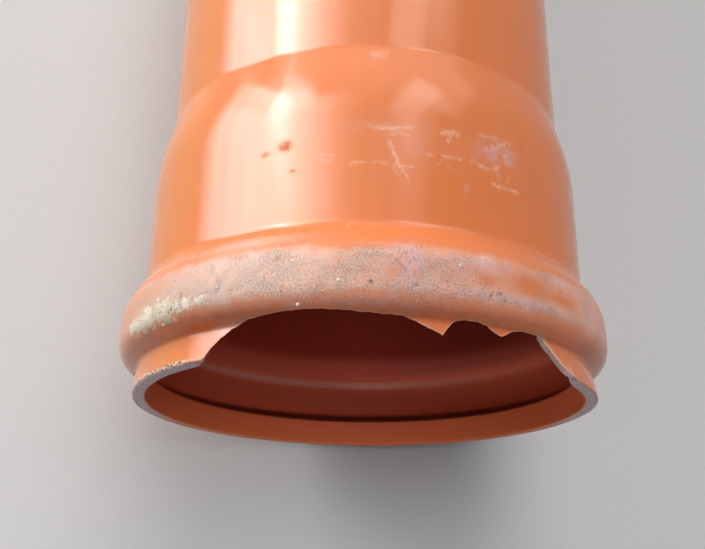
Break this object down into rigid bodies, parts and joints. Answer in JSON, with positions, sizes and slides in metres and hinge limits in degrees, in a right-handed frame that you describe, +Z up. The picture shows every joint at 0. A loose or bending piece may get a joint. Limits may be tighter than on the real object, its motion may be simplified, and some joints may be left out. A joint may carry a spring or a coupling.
{
  "type": "sewer pipe",
  "caption": "Short length of plastic drain pipe with a plain end and a belled socket with a seal bead, its socket lip broken away along the top.",
  "frame": {"origin": "on the floor under the middle of the pipe's length, where the pipe lies level on its bead", "axes": "+Y along the pipe from the socket's mouth to the plain end, +Z up, with the broken part of the lip on top"},
  "size_m": [0.1276, 0.575, 0.1275],
  "materials": {
    "pipe": "orange-brown unplasticised PVC, satin, dusty and scratched"
  },
  "bodies": {
    "root": {"pipe": "pipe"}
  },
  "joints": []
}
